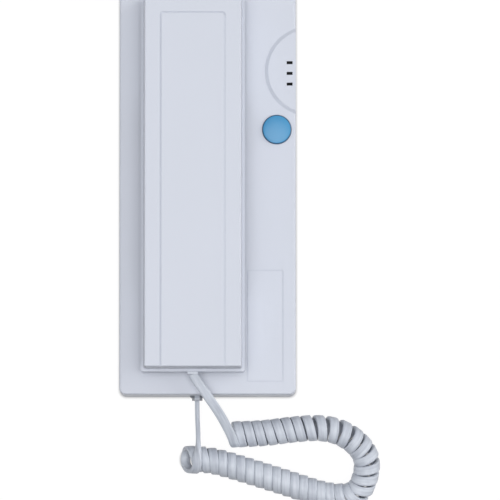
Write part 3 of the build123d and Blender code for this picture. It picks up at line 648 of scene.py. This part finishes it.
# Painted shade: this black felt stands in for the shade inside the sound slots.
slot_shade_black = fibrous("slot_shade_black_felt", "#0B0B0C", "#040405", 0.3, 0.08, 0.92, 1.45)
foam_black = fibrous("polyurethane_foam", "#26262A", "#101012", 0.6, 0.15, 0.9, 1.45)
rubber_black = fibrous("moulded_rubber", "#1C1C1E", "#161618", 0.5, 0.01, 0.7, 1.52)

# %% [markdown]
# ## Metals and the circuit board
#
# The screws are steel with bright zinc, which shows fine turning marks. The capacitors and the
# microphone have drawn aluminium cans. The weight is a sawn block of mild steel with a grey skin.
# The marks are drawn some tenths of a millimetre wide, coarser than they are, so that they show.
# The board is glass and resin under green solder mask, where copper tracks show as paler ribs.

# %% Metals


def drawn_metal(name, base, shade, mark_mm, stretch, relief_mm, roughness):
    """Metal with marks of a real width that run along one direction."""
    material, tree, shader, place = new_material(name, metallic=1.0)
    drawn = add_node(tree, "ShaderNodeMapping", {"Scale": (1.0, 1.0, stretch)}, Vector=place)
    marks = add_node(
        tree, "ShaderNodeTexNoise", {"Scale": 1000 / mark_mm, "Detail": 4.0},
        Vector=drawn.outputs["Vector"],
    )
    colour = blend_colours(tree, marks.outputs["Fac"], shade, base)
    surface(tree, shader, colour, marks.outputs["Fac"], relief_mm, roughness, 0.08)
    return material


screw_steel = drawn_metal("zinc_plated_steel", "#C3C7CC", "#A7ABB2", 0.3, 4.0, 0.005, 0.3)
can_aluminium = drawn_metal("drawn_aluminium", "#CFD1D4", "#B9BCC0", 0.5, 0.1, 0.004, 0.28)
weight_steel = drawn_metal("mild_steel", "#8E9094", "#6C6E72", 0.8, 0.3, 0.02, 0.5)

# %% Circuit board
pad_length_mm = 6.0
track_spacing_mm = 1.6
track_width_mm = 0.25
solder_mask, tree, shader, place = new_material("solder_mask_green", 1.52)
tracks = add_node(
    tree, "ShaderNodeTexBrick",
    {
        "Scale": 1.0, "Brick Width": pad_length_mm / 1000, "Row Height": track_spacing_mm / 1000,
        "Mortar Size": track_width_mm / 1000,
        "Color1": linear("#1E5A34"), "Color2": linear("#1A5230"), "Mortar": linear("#2F7A4C"),
    },
    Vector=place,
)
surface(tree, shader, tracks.outputs["Color"], tracks.outputs["Fac"], 0.03, 0.3, 0.03)

# %% Give the frame's pieces their materials


def dress(names, material):
    """Puts one material on the frame's pieces of these names."""
    for name in names:
        node = nodes[name]
        node.data.materials.clear()
        node.data.materials.append(material)


dress(
    ["front_cover", "back_plate", "handset_back_shell", "handset_front_shell", "hook_plunger"],
    housing_abs,
)
dress(["handset_plug"], plug_plastic)
dress(["base_plug"], shaded_plug_plastic)
dress(
    ["buzzer", "button_switch", "hook_switch", "base_jack", "handset_jack", "earpiece"], black_plastic,
)
dress(["terminal_block"], terminal_plastic)
dress(["earpiece_gasket"], foam_black)
dress(["microphone_boot"], rubber_black)
dress(["cover_screw", "board_screws", "terminal_screws", "handset_screws"], screw_steel)
dress(["capacitors", "microphone"], can_aluminium)
dress(["handset_weight"], weight_steel)
dress(["circuit_board"], solder_mask)
dress(["door_button"], button_abs)
cord.data.materials.append(cord_pvc)
slot_shade.data.materials.append(slot_shade_black)
button.data.materials.append(button_abs)

# %% [markdown]
# ## Floor and lights
#
# The unit lies on a white sheet. To the camera the sheet glows nearly white by itself and keeps a
# soft shadow, while for the light it is a dark grey, so that it doesn't brighten the lower walls.
# Its glow is dimmed as painted contact shadow where the object comes close.
# Four broad suns stand for soft boxes: one overhead, a strong one low at the right, whose light
# leaves the strip left of the handset in shade, and weak ones from the left and the lower end. The
# world is brightest overhead, as under a diffuser, and plain white where the camera, a reflection
# or clear plastic looks at it.

# %% Floor


def seen_directly(tree):
    """One for rays from the camera, a reflection or clear plastic, nought for the light's rays."""
    path = add_node(tree, "ShaderNodeLightPath")
    reflected = add_node(tree, "ShaderNodeMath", {"operation": "MAXIMUM"})
    tree.links.new(path.outputs["Is Camera Ray"], reflected.inputs[0])
    tree.links.new(path.outputs["Is Glossy Ray"], reflected.inputs[1])
    clear = add_node(tree, "ShaderNodeMath", {"operation": "MAXIMUM"})
    tree.links.new(reflected.outputs["Value"], clear.inputs[0])
    tree.links.new(path.outputs["Is Transmission Ray"], clear.inputs[1])
    return clear.outputs["Value"]


floor_size = 6
contact_reach_mm = 1.5
contact_samples = 8
bpy.ops.mesh.primitive_plane_add(size=floor_size, location=(0, 0, 0))
floor = bpy.context.object
floor.name = "floor"
floor_material = bpy.data.materials.new("white_paper")
floor_material.use_nodes = True
floor_tree = floor_material.node_tree
floor_shader = floor_tree.nodes["Principled BSDF"]
floor_shader.inputs["Base Color"].default_value = linear("#4C4C4E")
floor_shader.inputs["Roughness"].default_value = 0.9
floor_shader.inputs["Specular IOR Level"].default_value = 0.0
floor_shader.inputs["Emission Color"].default_value = linear("#FAFAFA")
# Painted contact shadow: the floor's glow is dimmed by ambient occlusion where the object is near.
covered = add_node(
    floor_tree, "ShaderNodeAmbientOcclusion",
    {"Distance": contact_reach_mm / 1000, "samples": contact_samples},
)
floor_glow = add_node(floor_tree, "ShaderNodeMath", {"operation": "MULTIPLY"})
floor_tree.links.new(covered.outputs["AO"], floor_glow.inputs[0])
floor_tree.links.new(seen_directly(floor_tree), floor_glow.inputs[1])
floor_tree.links.new(floor_glow.outputs["Value"], floor_shader.inputs["Emission Strength"])
floor.data.materials.append(floor_material)

# %% Lights


def add_sun(name, direction, strength, angle_deg):
    """Soft sun that shines from a direction."""
    bpy.ops.object.light_add(type="SUN", location=(0, 0, 1))
    sun = bpy.context.object
    sun.name = name
    sun.data.energy = strength
    sun.data.angle = math.radians(angle_deg)
    sun.rotation_euler = Vector(direction).to_track_quat("Z", "Y").to_euler()


add_sun("overhead_light", (0.0, -0.1, 1.0), 1.19, 40)
add_sun("right_light", (1.0, 0.2, 0.33), 1.7, 60)
add_sun("left_light", (-1.0, 0.0, 0.2), 0.6, 60)
add_sun("low_light", (0.0, -1.0, 1.4), 0.1, 50)
world = bpy.data.worlds.new("studio")
bpy.context.scene.world = world
world.use_nodes = True
world_tree = world.node_tree
background = world_tree.nodes["Background"]
background.inputs["Color"].default_value = linear("#F4F8FF")
direction = add_node(world_tree, "ShaderNodeTexCoord").outputs["Generated"]
height = add_node(world_tree, "ShaderNodeSeparateXYZ", Vector=direction).outputs["Z"]
overhead = add_node(world_tree, "ShaderNodeMapRange", {"To Min": 0.02, "To Max": 0.5}, Value=height)
sky = add_node(world_tree, "ShaderNodeMath", {"operation": "MAXIMUM"})
world_tree.links.new(overhead.outputs["Result"], sky.inputs[0])
world_tree.links.new(seen_directly(world_tree), sky.inputs[1])
world_tree.links.new(sky.outputs["Value"], background.inputs["Strength"])
bpy.context.scene.view_settings.view_transform = "Standard"
